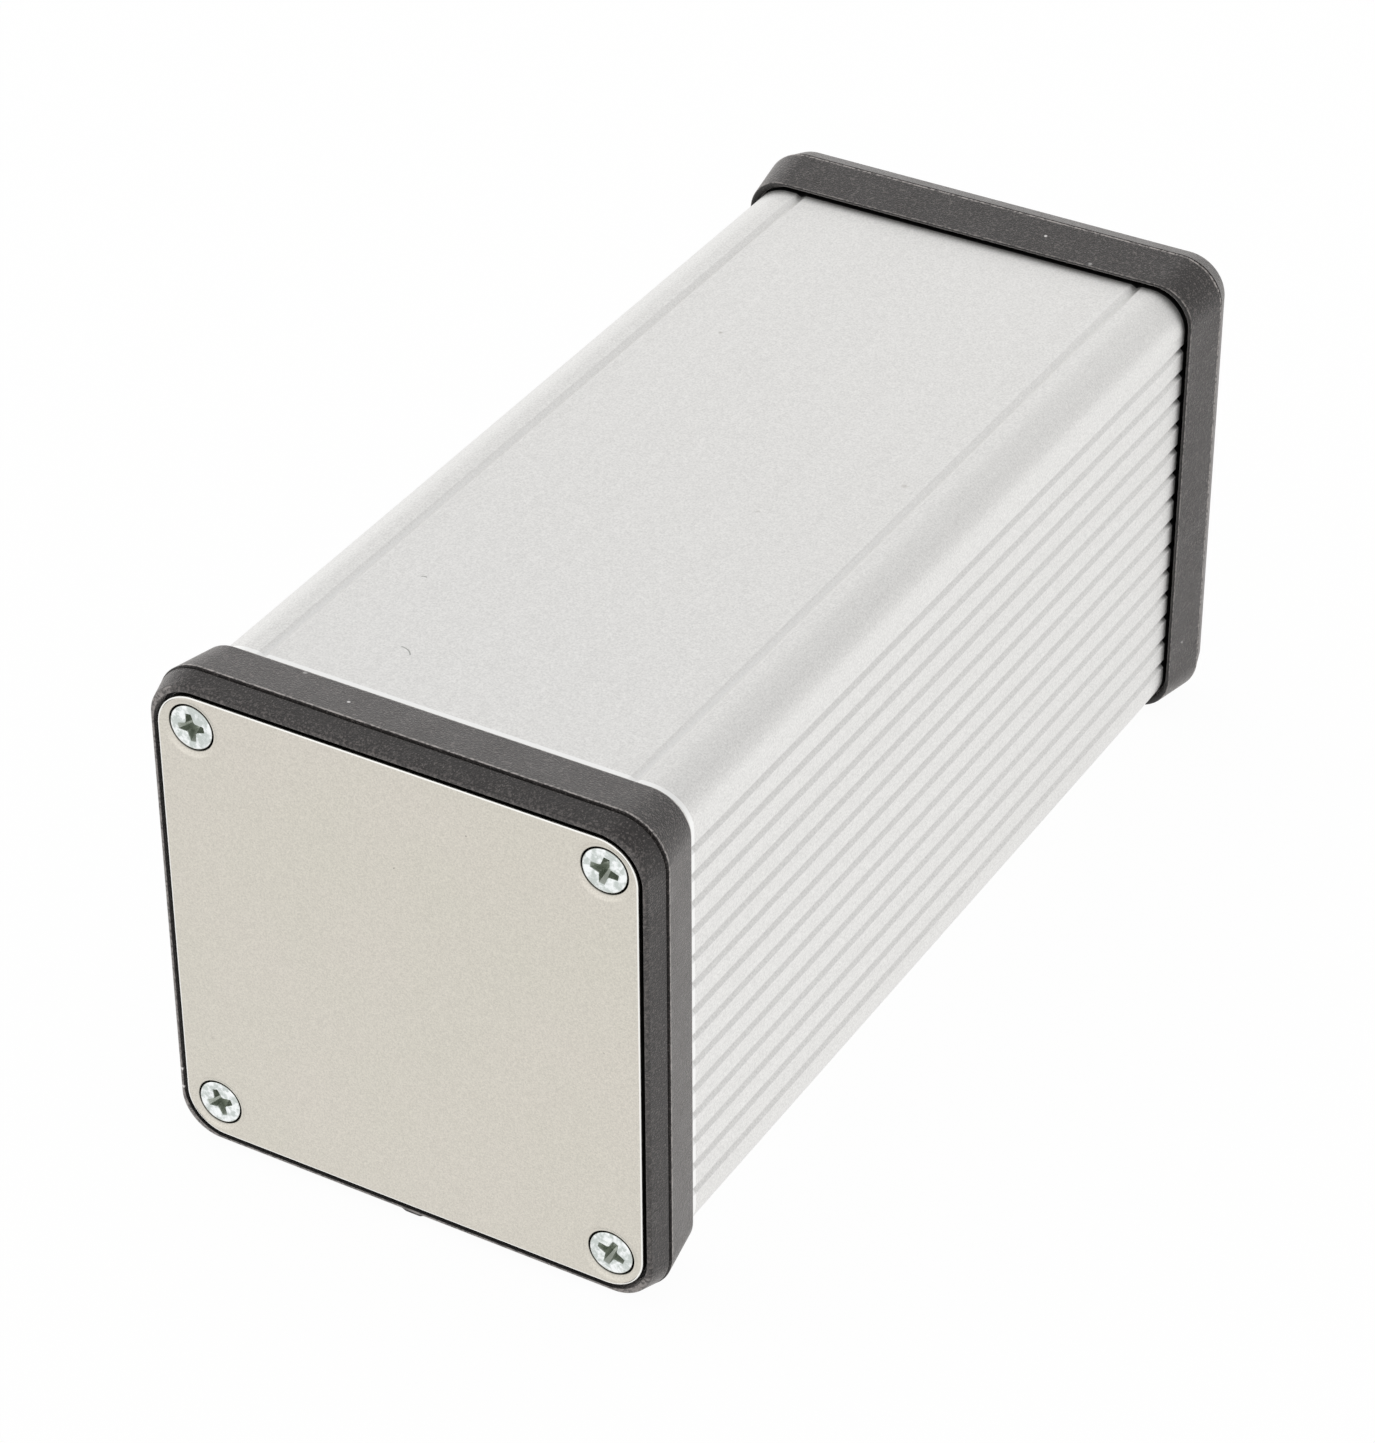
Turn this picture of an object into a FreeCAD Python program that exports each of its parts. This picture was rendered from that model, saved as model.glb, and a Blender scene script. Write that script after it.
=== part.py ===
import FreeCAD, Part
import os
import Sketcher
from FreeCAD import Placement, Rotation, Vector

# Square aluminium case: an extruded tube, closed at each end by a moulded plastic bezel that
# carries a flat aluminium panel. Four countersunk screws per end go through panel and bezel
# into channels in the tube's corners.
# Millimetres. The case lies along Y with its front panel facing -Y and +Z up. The origin is
# under the middle of the case, in the plane that the two bezels stand on.

doc = FreeCAD.newDocument("ExtrudedCase")

DIMENSIONS = [
    ("body_width", 78.0, "outer width and height of the square tube"),
    ("body_corner", 6.2, "outer corner radius of the tube"),
    ("body_wall", 1.8, "wall of the tube"),
    ("body_length", 163.0, "cut length of the tube, for a 160 mm board"),
    ("groove_width", 1.4, "width of the side V grooves at the surface"),
    ("groove_depth", 0.6, "depth of the V grooves"),
    ("groove_margin", 2.7, "outermost side groove to the start of the corner radius"),
    ("groove_count", 14, "V grooves on each side"),
    ("top_groove_inset", 8.7, "top groove to the side of the tube"),
    ("top_groove_width", 1.8, "width of the top V grooves at the surface"),
    ("screw_inset", 5.5, "screw axis to the outside of the tube"),
    ("channel_wall", 1.8, "metal round a screw channel"),
    ("channel_clearance", 0.1, "screw root to channel, all round"),
    ("channel_slot", 1.6, "open slot along a screw channel"),
    ("guide_count", 6, "card guides on each side wall"),
    ("guide_slot", 1.8, "width of a card guide's slot"),
    ("guide_rib", 1.2, "thickness of a card guide's rib"),
    ("guide_height", 2.2, "height of a card guide's rib"),
    ("panel_thickness", 1.2, "end panel sheet"),
    ("panel_corner", 6.3, "end panel corner radius"),
    ("panel_bevel", 0.15, "broken front edge of the end panel"),
    ("panel_gap", 0.2, "end panel to bezel, all round"),
    ("rim_width", 0.95, "front rim of the bezel, measured to its sharp corner"),
    ("rim_radius", 1.1, "rounding of the bezel's front rim"),
    ("crease_overhang", 2.4, "widest line of the bezel, past the tube"),
    ("crease_depth", 4.1, "widest line of the bezel, behind its front"),
    ("bezel_corner", 7.6, "corner radius of the bezel at its widest line"),
    ("lip_overhang", 1.0, "back edge of the bezel, past the tube"),
    ("lip_lead_in", 0.45, "chamfer inside the bezel's back edge"),
    ("bezel_depth", 12.3, "front to back edge of the bezel"),
    ("socket_depth", 3.0, "length of tube held inside the bezel"),
    ("socket_gap", 0.15, "tube to bezel, all round"),
    ("butt_ledge", 0.65, "width of the ledge that the tube's end meets"),
    ("butt_rib_height", 1.3, "ribs that widen that ledge"),
    ("butt_rib_thickness", 1.2, "thickness of those ribs"),
    ("butt_rib_spacing", 19.0, "distance between those ribs"),
    ("web_thickness", 2.0, "web behind the panel"),
    ("window_margin", 3.6, "window in the web to the outside of the tube"),
    ("pillar_wall", 1.2, "plastic round the conical seat of a screw pillar"),
    ("gate_length", 4.0, "moulding gate mark under the bezel"),
    ("gate_height", 0.3, "how far the gate mark stands proud"),
    ("gate_width", 1.0, "gate mark, front to back"),
    ("dimple_diameter", 9.2, "pressed dimple in the panel at its face"),
    ("dimple_depth", 0.25, "soft edge of the dimple above its cone"),
    ("sink_diameter", 7.7, "top of the 90 degree cone in the dimple"),
    ("dimple_hole", 4.2, "hole through the dimple"),
    ("dimple_gap", 0.15, "back of the dimple to its seat in the bezel"),
    ("head_diameter", 7.0, "screw head"),
    ("head_land", 0.25, "straight edge of the screw head above its cone"),
    ("head_gap", 0.04, "screw head to dimple, square to the cone"),
    ("recess_span", 4.0, "cross recess, tip to tip"),
    ("recess_wing", 1.05, "width of a wing of the cross"),
    ("recess_depth", 1.9, "depth of the cross recess"),
    ("recess_floor", 1.7, "cross recess at its floor, tip to tip"),
    ("thread_diameter", 3.5, "outside of the screw's thread"),
    ("thread_root", 2.8, "core of the screw under its thread"),
    ("thread_passage", 0.25, "thread to the hole in the bezel, all round"),
    ("screw_length", 19.0, "head face to the blunt end"),
]

# Turn of each screw's cross about its own axis, in degrees, as the screws were left when driven.
# The order is upper left, upper right, lower left, lower right, each end seen from outside.
FRONT_TURNS = [-8, 11, -20, 21]
REAR_TURNS = [41, -6, 22, 67]

sheet = doc.addObject("Spreadsheet::Sheet", "Dimensions")
for row, (alias, value, note) in enumerate(DIMENSIONS, start=1):
    sheet.set("A%d" % row, note)
    sheet.set("B%d" % row, str(value))
    sheet.setAlias("B%d" % row, alias)
doc.recompute()


def sized(text):
    """Put the sheet's name before each of its aliases in an expression."""
    words = text.split()
    aliases = [alias for alias, value, note in DIMENSIONS]
    return " ".join("Dimensions." + word if word in aliases else word for word in words)


def value_of(text):
    """The number that an expression gives now."""
    return float(sheet.evalExpression(sized(text)))


THROUGH = "through all"
QUARTER = 1.5707963267948966
FINE = 0.001

# Sizes that follow from the sheet and that more than one piece shares.
BODY_HALF = "body_width / 2"
SCREW_REACH = "( body_width / 2 - screw_inset )"
CHANNEL_RADIUS = "( thread_root / 2 + channel_clearance )"
BOSS_RADIUS = "( thread_root / 2 + channel_clearance + channel_wall )"
RECESS_HALF = "body_width / 2 + panel_gap"
BUTT_DEPTH = "( bezel_depth - socket_depth )"
SEAT_RADIUS = "( dimple_diameter / 2 + dimple_gap )"
PILLAR_RADIUS = "( dimple_diameter / 2 + dimple_gap + pillar_wall )"
STAND_HEIGHT = "body_width / 2 + crease_overhang"
HALF_LENGTH = "( body_length / 2 + bezel_depth - socket_depth )"


def new_body(label):
    """An empty body whose label names the piece."""
    body = doc.addObject("PartDesign::Body", label)
    body.Label = label
    return body


def plane_of(body, role):
    """One of the body's own origin planes or axes."""
    for feature in body.Origin.OriginFeatures:
        if feature.Role == role:
            return feature


def new_sketch(body, name, role="XZ_Plane", offset="0"):
    """A sketch on an origin plane. On XZ its y is Z and the offset is the depth along +Y;
    on XY the offset is the height along +Z."""
    sketch = body.newObject("Sketcher::SketchObject", name)
    sketch.AttachmentSupport = (plane_of(body, role), [""])
    sketch.MapMode = "FlatFace"
    sign = "-1 * " if role == "XZ_Plane" else ""
    sketch.setExpression("AttachmentOffset.Base.z", sized(sign + "( " + offset + " ) * 1 mm"))
    doc.recompute()
    return sketch


def pin(sketch, edge, end, across, up):
    """Hold one end of an edge at a place given by two expressions."""
    for kind, text in (("DistanceX", across), ("DistanceY", up)):
        index = sketch.addConstraint(Sketcher.Constraint(kind, -1, 1, edge, end, value_of(text)))
        sketch.setExpression("Constraints[%d]" % index, sized("( " + text + " ) * 1 mm"))


def join(sketch, first, second):
    """The end of one edge meets the start of the next."""
    sketch.addConstraint(Sketcher.Constraint("Coincident", first, 2, second, 1))


def outline(sketch, points):
    """A closed outline of straight lines through points given by expressions."""
    places = [Vector(value_of(across), value_of(up), 0) for across, up in points]
    edges = []
    for start, end in zip(places, places[1:] + places[:1]):
        edges.append(sketch.addGeometry(Part.LineSegment(start, end), False))
    for first, second in zip(edges, edges[1:] + edges[:1]):
        join(sketch, first, second)
    for edge, (across, up) in zip(edges, points):
        pin(sketch, edge, 1, across, up)
    return edges


def box_outline(sketch, left, right, low, high):
    """A rectangle between four expressions."""
    return outline(sketch, [(left, low), (right, low), (right, high), (left, high)])


def bind_radius(sketch, arc, radius):
    """Give an arc or circle a radius from an expression."""
    index = sketch.addConstraint(Sketcher.Constraint("Radius", arc, value_of(radius)))
    sketch.setExpression("Constraints[%d]" % index, sized("( " + radius + " ) * 1 mm"))


def rounded_square(sketch, half, radius):
    """A square with four equal corner arcs, centred on the sketch's origin."""
    reach = value_of(half)
    bend = value_of(radius)
    inner = reach - bend
    sides = [
        ((-inner, -reach), (inner, -reach)),
        ((reach, -inner), (reach, inner)),
        ((inner, reach), (-inner, reach)),
        ((-reach, inner), (-reach, -inner)),
    ]
    centres = [(inner, -inner), (inner, inner), (-inner, inner), (-inner, -inner)]
    edges = []
    for turn in range(4):
        start, end = [Vector(x, y, 0) for x, y in sides[turn]]
        edges.append(sketch.addGeometry(Part.LineSegment(start, end), False))
        circle = Part.Circle(Vector(centres[turn][0], centres[turn][1], 0), Vector(0, 0, 1), bend)
        first = (turn - 1) * QUARTER
        arc = Part.ArcOfCircle(circle, first, first + QUARTER)
        edges.append(sketch.addGeometry(arc, False))
    for first, second in zip(edges, edges[1:] + edges[:1]):
        sketch.addConstraint(Sketcher.Constraint("Tangent", first, 2, second, 1))
    for side, kind in zip(edges[0::2], ("Horizontal", "Vertical", "Horizontal", "Vertical")):
        sketch.addConstraint(Sketcher.Constraint(kind, side))
    for arc in edges[3::2]:
        sketch.addConstraint(Sketcher.Constraint("Equal", edges[1], arc))
    bind_radius(sketch, edges[1], radius)
    sketch.addConstraint(Sketcher.Constraint("Symmetric", edges[1], 3, edges[5], 3, -1, 1))
    pin(sketch, edges[1], 3, half + " - ( " + radius + " )", "-1 * ( " + half + " - ( " + radius + " ) )")


def turned(point, quarters):
    """A point given by two expressions, turned about the origin by quarter turns."""
    across, up = point
    for quarter in range(quarters):
        across, up = "-1 * ( " + up + " )", across
    return across, up


def bossed_square(sketch, half, boss):
    """The hollow between four walls whose corners are filled by round-nosed screw bosses."""
    near = SCREW_REACH + " - " + boss
    edges = []
    for corner in range(4):
        names = [(half, near), (SCREW_REACH, near), (near, SCREW_REACH), (near, half)]
        names = [turned(point, corner) for point in names]
        wall_end, beside, under, wall_start = [Vector(value_of(x), value_of(y), 0) for x, y in names]
        centre = turned((SCREW_REACH, SCREW_REACH), corner)
        axis = Vector(value_of(centre[0]), value_of(centre[1]), 0)
        first = (corner + 2) * QUARTER
        arc = Part.ArcOfCircle(Part.Circle(axis, Vector(0, 0, 1), value_of(boss)), first, first + QUARTER)
        next_end = turned((half, near), corner + 1)
        next_wall = Vector(value_of(next_end[0]), value_of(next_end[1]), 0)
        shapes = [
            Part.LineSegment(wall_end, beside),
            arc,
            Part.LineSegment(under, wall_start),
            Part.LineSegment(wall_start, next_wall),
        ]
        arrive, nose, leave, wall = [sketch.addGeometry(shape, False) for shape in shapes]
        sketch.addConstraint(Sketcher.Constraint("Tangent", arrive, 2, nose, 2))
        sketch.addConstraint(Sketcher.Constraint("Tangent", nose, 1, leave, 1))
        join(sketch, leave, wall)
        pin(sketch, nose, 3, *centre)
        bind_radius(sketch, nose, boss)
        pin(sketch, arrive, 1, *names[0])
        pin(sketch, leave, 2, *names[3])
        edges.append((arrive, wall))
    for (arrive, wall), (next_arrive, next_wall) in zip(edges, edges[1:] + edges[:1]):
        join(sketch, wall, next_arrive)


def circle(sketch, across, up, radius):
    """A circle at a place and of a radius given by expressions."""
    centre = Vector(value_of(across), value_of(up), 0)
    edge = sketch.addGeometry(Part.Circle(centre, Vector(0, 0, 1), value_of(radius)), False)
    pin(sketch, edge, 3, across, up)
    bind_radius(sketch, edge, radius)


def extrude(body, kind, name, sketch, length, towards_back=True, both_ways=False):
    """A Pad or Pocket of a sketch on XZ: along +Y, along -Y, or both ways about the sketch."""
    feature = body.newObject("PartDesign::" + kind, name)
    feature.Profile = sketch
    if length == THROUGH:
        feature.Type = "ThroughAll"
    else:
        feature.setExpression("Length", sized("( " + length + " ) * 1 mm"))
    if both_ways:
        feature.SideType = "Symmetric"
    else:
        feature.Reversed = towards_back == (kind == "Pad")
    sketch.Visibility = False
    body.Tip = feature
    doc.recompute()
    return feature


def quarter_pattern(body, name, original):
    """Four copies of a feature about the Y axis."""
    pattern = body.newObject("PartDesign::PolarPattern", name)
    pattern.Originals = [original]
    pattern.Axis = (plane_of(body, "Y_Axis"), [""])
    pattern.Angle = 360
    pattern.Occurrences = 4
    body.Tip = pattern
    doc.recompute()
    return pattern


def linear_pattern(body, name, original, axis, length, count):
    """Copies of a feature, evenly spread over a length."""
    pattern = body.newObject("PartDesign::LinearPattern", name)
    pattern.Originals = [original]
    pattern.Direction = (plane_of(body, axis), [""])
    pattern.setExpression("Length", sized("( " + length + " ) * 1 mm"))
    pattern.setExpression("Occurrences", sized(count))
    body.Tip = pattern
    doc.recompute()
    return pattern


def edges_at(feature, depth, inside):
    """Names of a feature's edges that lie at one depth, nearer the axis than a given reach."""
    names = []
    for number, edge in enumerate(feature.Shape.Edges, start=1):
        box = edge.BoundBox
        reach = max(abs(box.XMin), abs(box.XMax), abs(box.ZMin), abs(box.ZMax))
        level = abs(box.YMin - depth) < FINE and abs(box.YMax - depth) < FINE
        if level and reach < inside + FINE:
            names.append("Edge%d" % number)
    return names


def dress(body, kind, name, base, edges, size_name, size):
    """A Fillet or Chamfer on edges of the feature before it."""
    feature = body.newObject("PartDesign::" + kind, name)
    feature.Base = (base, edges)
    feature.setExpression(size_name, sized("( " + size + " ) * 1 mm"))
    body.Tip = feature
    doc.recompute()
    return feature


def turn_profile(body, kind, name, sketch, axis):
    """A Revolution or Groove of a sketch on XY."""
    feature = body.newObject("PartDesign::" + kind, name)
    feature.Profile = sketch
    feature.ReferenceAxis = (sketch, [axis])
    feature.Angle = 360
    sketch.Visibility = False
    body.Tip = feature
    doc.recompute()
    return feature


# The tube. Its section is the same from end to end, as it left the extrusion die.

def build_tube():
    body = new_body("extruded_body")

    skin = new_sketch(body, "TubeOutline")
    rounded_square(skin, BODY_HALF, "body_corner")
    extrude(body, "Pad", "Tube", skin, "body_length", both_ways=True)

    hollow = new_sketch(body, "HollowOutline")
    bossed_square(hollow, "( body_width / 2 - body_wall )", BOSS_RADIUS)
    extrude(body, "Pocket", "Hollow", hollow, THROUGH, both_ways=True)

    # Fourteen fine grooves on each side. The lowest pair is cut and repeated upwards.
    spread = "( body_width - 2 * body_corner - 2 * groove_margin )"
    lowest = "-1 * " + spread + " / 2"
    side = new_sketch(body, "SideGrooveOutline")
    for sign in ("-1", "1"):
        face = sign + " * body_width / 2"
        root = sign + " * ( body_width / 2 - groove_depth )"
        outline(side, [
            (face, lowest + " - groove_width / 2"),
            (face, lowest + " + groove_width / 2"),
            (root, lowest),
        ])
    cut = extrude(body, "Pocket", "SideGroove", side, THROUGH, both_ways=True)
    linear_pattern(body, "SideGrooves", cut, "Z_Axis", spread, "groove_count")

    # Two grooves on the top and two underneath, inside the rounded corners.
    flat = new_sketch(body, "TopGrooveOutline")
    for across in ("-1", "1"):
        for up in ("-1", "1"):
            middle = across + " * ( body_width / 2 - top_groove_inset )"
            outline(flat, [
                (middle + " - top_groove_width / 2", up + " * body_width / 2"),
                (middle + " + top_groove_width / 2", up + " * body_width / 2"),
                (middle, up + " * ( body_width / 2 - groove_depth )"),
            ])
    extrude(body, "Pocket", "TopGrooves", flat, THROUGH, both_ways=True)

    # Card guides: pairs of ribs on the side walls, spread between the corner bosses.
    clear_height = "( 2 * ( " + SCREW_REACH + " - " + BOSS_RADIUS + " ) )"
    step = "( " + clear_height + " / guide_count )"
    first = "-1 * " + clear_height + " / 2 + " + step + " / 2"
    guide = new_sketch(body, "GuideOutline")
    for sign, side_name in (("-1", "left"), ("1", "right")):
        for beside in ("-1", "1"):
            low = first + " + " + beside + " * guide_slot / 2"
            high = first + " + " + beside + " * ( guide_slot / 2 + guide_rib )"
            root = sign + " * ( body_width / 2 - body_wall / 2 )"
            tip = sign + " * ( body_width / 2 - body_wall - guide_height )"
            box_outline(guide, root, tip, low, high)
    ribs = extrude(body, "Pad", "Guide", guide, "body_length", both_ways=True)
    linear_pattern(body, "Guides", ribs, "Z_Axis", clear_height + " - " + step, "guide_count")

    # Screw channels in the corner bosses, each open along its length towards the middle.
    bore = new_sketch(body, "ChannelOutline")
    slot = new_sketch(body, "ChannelSlotOutline")
    for across in ("-1", "1"):
        for up in ("-1", "1"):
            circle(bore, across + " * " + SCREW_REACH, up + " * " + SCREW_REACH, CHANNEL_RADIUS)
            box_outline(
                slot,
                across + " * " + SCREW_REACH,
                across + " * ( " + SCREW_REACH + " - " + BOSS_RADIUS + " - channel_wall )",
                up + " * " + SCREW_REACH + " - channel_slot / 2",
                up + " * " + SCREW_REACH + " + channel_slot / 2",
            )
    extrude(body, "Pocket", "Channels", bore, THROUGH, both_ways=True)
    extrude(body, "Pocket", "ChannelSlots", slot, THROUGH, both_ways=True)
    body.setExpression("Placement.Base.z", sized("( " + STAND_HEIGHT + " ) * 1 mm"))
    return body


# The bezel, a moulded frame. Its front is at y = 0 and it reaches back along +Y.

def build_bezel(label):
    body = new_body(label)

    # The outside slopes in from the mould's parting line, forwards to the rim and back to the lip.
    crease = new_sketch(body, "CreaseOutline", offset="crease_depth")
    rounded_square(crease, BODY_HALF + " + crease_overhang", "bezel_corner")
    block = extrude(body, "Pad", "FrontSlope", crease, "crease_depth", towards_back=False)
    front_slope = "crease_overhang - panel_gap - rim_width"
    block.setExpression("TaperAngle", sized("-1 * atan( ( " + front_slope + " ) / crease_depth )"))
    back = extrude(body, "Pad", "BackSlope", crease, "bezel_depth - crease_depth")
    back_slope = "( crease_overhang - lip_overhang ) / ( bezel_depth - crease_depth )"
    back.setExpression("TaperAngle", sized("-1 * atan( " + back_slope + " )"))
    doc.recompute()
    rim = edges_at(back, 0, value_of(BODY_HALF + " + crease_overhang"))
    dress(body, "Fillet", "RimRounding", back, rim, "Radius", "rim_radius")

    # The panel drops into the front, flush with the rim.
    recess = new_sketch(body, "PanelRecessOutline")
    rounded_square(recess, RECESS_HALF, "panel_corner + panel_gap")
    extrude(body, "Pocket", "PanelRecess", recess, "panel_thickness")

    # The tube's end slides into the back, past a lead-in chamfer.
    socket = new_sketch(body, "SocketOutline", offset="bezel_depth")
    rounded_square(socket, BODY_HALF + " + socket_gap", "body_corner + socket_gap")
    pocket = extrude(body, "Pocket", "Socket", socket, "socket_depth", towards_back=False)
    mouth = edges_at(pocket, value_of("bezel_depth"), value_of(BODY_HALF + " + socket_gap"))
    dress(body, "Chamfer", "SocketLeadIn", pocket, mouth, "Size", "lip_lead_in")

    # Between socket and web the moulding is cored out, which leaves a pillar at each screw.
    core = new_sketch(body, "CoreOutline", offset="bezel_depth")
    bossed_square(core, "( body_width / 2 + socket_gap - butt_ledge )", PILLAR_RADIUS)
    core_depth = "bezel_depth - panel_thickness - web_thickness"
    extrude(body, "Pocket", "Core", core, core_depth, towards_back=False)

    window = new_sketch(body, "WindowOutline")
    bossed_square(window, "( body_width / 2 - window_margin )", PILLAR_RADIUS)
    extrude(body, "Pocket", "Window", window, "bezel_depth")

    # Ribs from the web to the ledge widen the seat of the tube's wall.
    ribs = new_sketch(body, "ButtRibOutline", offset=BUTT_DEPTH)
    wall = "body_width / 2 + socket_gap - butt_ledge"
    for place in (-1, 0, 1):
        left = "%d * butt_rib_spacing - butt_rib_thickness / 2" % place
        right = "%d * butt_rib_spacing + butt_rib_thickness / 2" % place
        box_outline(ribs, left, right, wall + " - butt_rib_height", wall + " + butt_ledge")
    rib_length = BUTT_DEPTH + " - panel_thickness - web_thickness"
    pad = extrude(body, "Pad", "ButtRib", ribs, rib_length, towards_back=False)
    quarter_pattern(body, "ButtRibs", pad)

    # Screw holes, each opening to the front in a cone that takes the back of a dimple.
    places = new_sketch(body, "ScrewHolePlaces", offset="panel_thickness")
    for across in ("-1", "1"):
        for up in ("-1", "1"):
            circle(places, across + " * " + SCREW_REACH, up + " * " + SCREW_REACH, "thread_diameter / 2")
    hole = body.newObject("PartDesign::Hole", "ScrewHoles")
    hole.Profile = places
    doc.recompute()
    hole.ThreadType = "None"
    hole.DepthType = "ThroughAll"
    hole.HoleCutType = "Countersink"
    hole.HoleCutCustomValues = True
    hole.setExpression("Diameter", sized("( thread_diameter + 2 * thread_passage ) * 1 mm"))
    hole.setExpression("HoleCutDiameter", sized("2 * " + SEAT_RADIUS + " * 1 mm"))
    hole.HoleCutCountersinkAngle = 90
    places.Visibility = False
    body.Tip = hole
    doc.recompute()

    # The mark that the moulding gate left under the rim.
    gate = new_sketch(body, "GateOutline", offset="gate_width / 2")
    rim_half = "( body_width / 2 + panel_gap + rim_width )"
    box_outline(
        gate,
        "-1 * gate_length / 2",
        "gate_length / 2",
        "-1 * " + rim_half + " - gate_height",
        "-1 * " + rim_half + " + gate_height",
    )
    extrude(body, "Pad", "GateMark", gate, "gate_width")
    return body


# The end panel, a sheet with four dimples pressed into it. Its face is at y = 0.

def build_panel(label):
    body = new_body(label)
    sheet_outline = new_sketch(body, "PanelOutline")
    rounded_square(sheet_outline, BODY_HALF, "panel_corner")
    sheet_pad = extrude(body, "Pad", "PanelSheet", sheet_outline, "panel_thickness")
    front = edges_at(sheet_pad, 0, value_of(BODY_HALF))
    dress(body, "Chamfer", "PanelBevel", sheet_pad, front, "Size", "panel_bevel")

    # The pressed metal stands out behind the sheet as a short cone, down to the screw's hole.
    back = new_sketch(body, "DimpleBackOutline", role="XY_Plane", offset=SCREW_REACH)
    hole_depth = "( sink_diameter / 2 + dimple_depth - dimple_hole / 2 )"
    back_radius = "( dimple_diameter / 2 + panel_thickness - " + hole_depth + " )"
    outline(back, [
        (SCREW_REACH, "panel_thickness / 2"),
        (SCREW_REACH + " + dimple_diameter / 2", "panel_thickness / 2"),
        (SCREW_REACH + " + dimple_diameter / 2", "panel_thickness"),
        (SCREW_REACH + " + " + back_radius, hole_depth),
        (SCREW_REACH, hole_depth),
    ])
    bump = turn_profile(body, "Revolution", "DimpleBack", back, add_axis(back))
    quarter_pattern(body, "DimpleBacks", bump)

    # The front of the dimple: a soft edge, then a 90 degree cone that ends at the screw's hole.
    face = new_sketch(body, "DimpleOutline", role="XY_Plane", offset=SCREW_REACH)
    outline(face, [
        (SCREW_REACH, "0"),
        (SCREW_REACH + " + dimple_diameter / 2", "0"),
        (SCREW_REACH + " + sink_diameter / 2", "dimple_depth"),
        (SCREW_REACH + " + dimple_hole / 2", hole_depth),
        (SCREW_REACH, hole_depth),
    ])
    dimple = turn_profile(body, "Groove", "Dimple", face, add_axis(face))
    quarter_pattern(body, "Dimples", dimple)
    return body


def add_axis(sketch):
    """A construction line through the screw axis, for turning a profile about it."""
    reach = value_of(SCREW_REACH)
    line = sketch.addGeometry(Part.LineSegment(Vector(reach, 0, 0), Vector(reach, 1, 0)), True)
    pin(sketch, line, 1, SCREW_REACH, "0")
    pin(sketch, line, 2, SCREW_REACH, "panel_thickness")
    return "Axis0"


# The screw, on its own axis along +Y, with the face of its head at y = 0.

def build_screw():
    body = new_body("screw")
    half = new_sketch(body, "ScrewProfile", role="XY_Plane")
    root = "thread_root / 2"
    outline(half, [
        ("0", "0"),
        ("head_diameter / 2", "0"),
        ("head_diameter / 2", "head_land"),
        (root, "head_land + head_diameter / 2 - " + root),
        (root, "screw_length"),
        ("0", "screw_length"),
    ])
    turn_profile(body, "Revolution", "ScrewBlank", half, "V_Axis")
    wing = new_sketch(body, "CrossWingProfile", role="XY_Plane")
    outline(wing, [
        ("0", "0"),
        ("recess_span / 2", "0"),
        ("recess_floor / 2", "recess_depth"),
        ("0", "recess_depth"),
    ])
    cut = extrude(body, "Pocket", "CrossWing", wing, "recess_wing", both_ways=True)
    quarter_pattern(body, "CrossRecess", cut)
    return body


def seat_screws(label, screw, turns):
    """Four screws of one end, in the frame of that end's panel, as one group."""
    corners = [("-1", "1"), ("1", "1"), ("-1", "-1"), ("1", "-1")]
    sink = "sink_diameter / 2 + dimple_depth - head_diameter / 2 - head_land - head_gap"
    links = []
    for number, ((across, up), turn) in enumerate(zip(corners, turns), start=1):
        link = doc.addObject("App::Link", "%s_%d" % (label, number))
        link.LinkedObject = screw
        link.Placement = Placement(Vector(0, 0, 0), Rotation(Vector(0, 1, 0), turn))
        link.setExpression("Placement.Base.x", sized(across + " * " + SCREW_REACH + " * 1 mm"))
        link.setExpression("Placement.Base.y", sized("( " + sink + " ) * 1 mm"))
        link.setExpression("Placement.Base.z", sized(up + " * " + SCREW_REACH + " * 1 mm"))
        links.append(link)
    group = doc.addObject("Part::Compound", label)
    group.Label = label
    group.Links = links
    doc.recompute()
    return group


def put_on_end(piece, rear):
    """Move a piece from the panel's frame to the front or the rear of the case."""
    piece.Placement = Placement(Vector(0, 0, 0), Rotation(Vector(0, 0, 1), 180 if rear else 0))
    side = "1" if rear else "-1"
    piece.setExpression("Placement.Base.y", sized(side + " * " + HALF_LENGTH + " * 1 mm"))
    piece.setExpression("Placement.Base.z", sized("( " + STAND_HEIGHT + " ) * 1 mm"))
    return piece


pieces = [build_tube()]
screw = build_screw()
for end, turns in (("front", FRONT_TURNS), ("rear", REAR_TURNS)):
    pieces.append(put_on_end(build_bezel(end + "_bezel"), end == "rear"))
    pieces.append(put_on_end(build_panel(end + "_panel"), end == "rear"))
    pieces.append(put_on_end(seat_screws(end + "_screws", screw, turns), end == "rear"))
doc.recompute()

for feature in doc.Objects:
    if "Invalid" in feature.State or "Error" in feature.State:
        raise RuntimeError(feature.Label + " failed to build")
for piece in pieces:
    if piece.Shape.isNull() or not piece.Shape.isValid():
        raise RuntimeError(piece.Label + " has no valid shape")

os.makedirs("parts", exist_ok=True)
for piece in pieces:
    piece.Shape.exportStep("parts/" + piece.Label + ".step")
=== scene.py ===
import math

import bmesh
import bpy
from mathutils import Matrix, Vector


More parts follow.
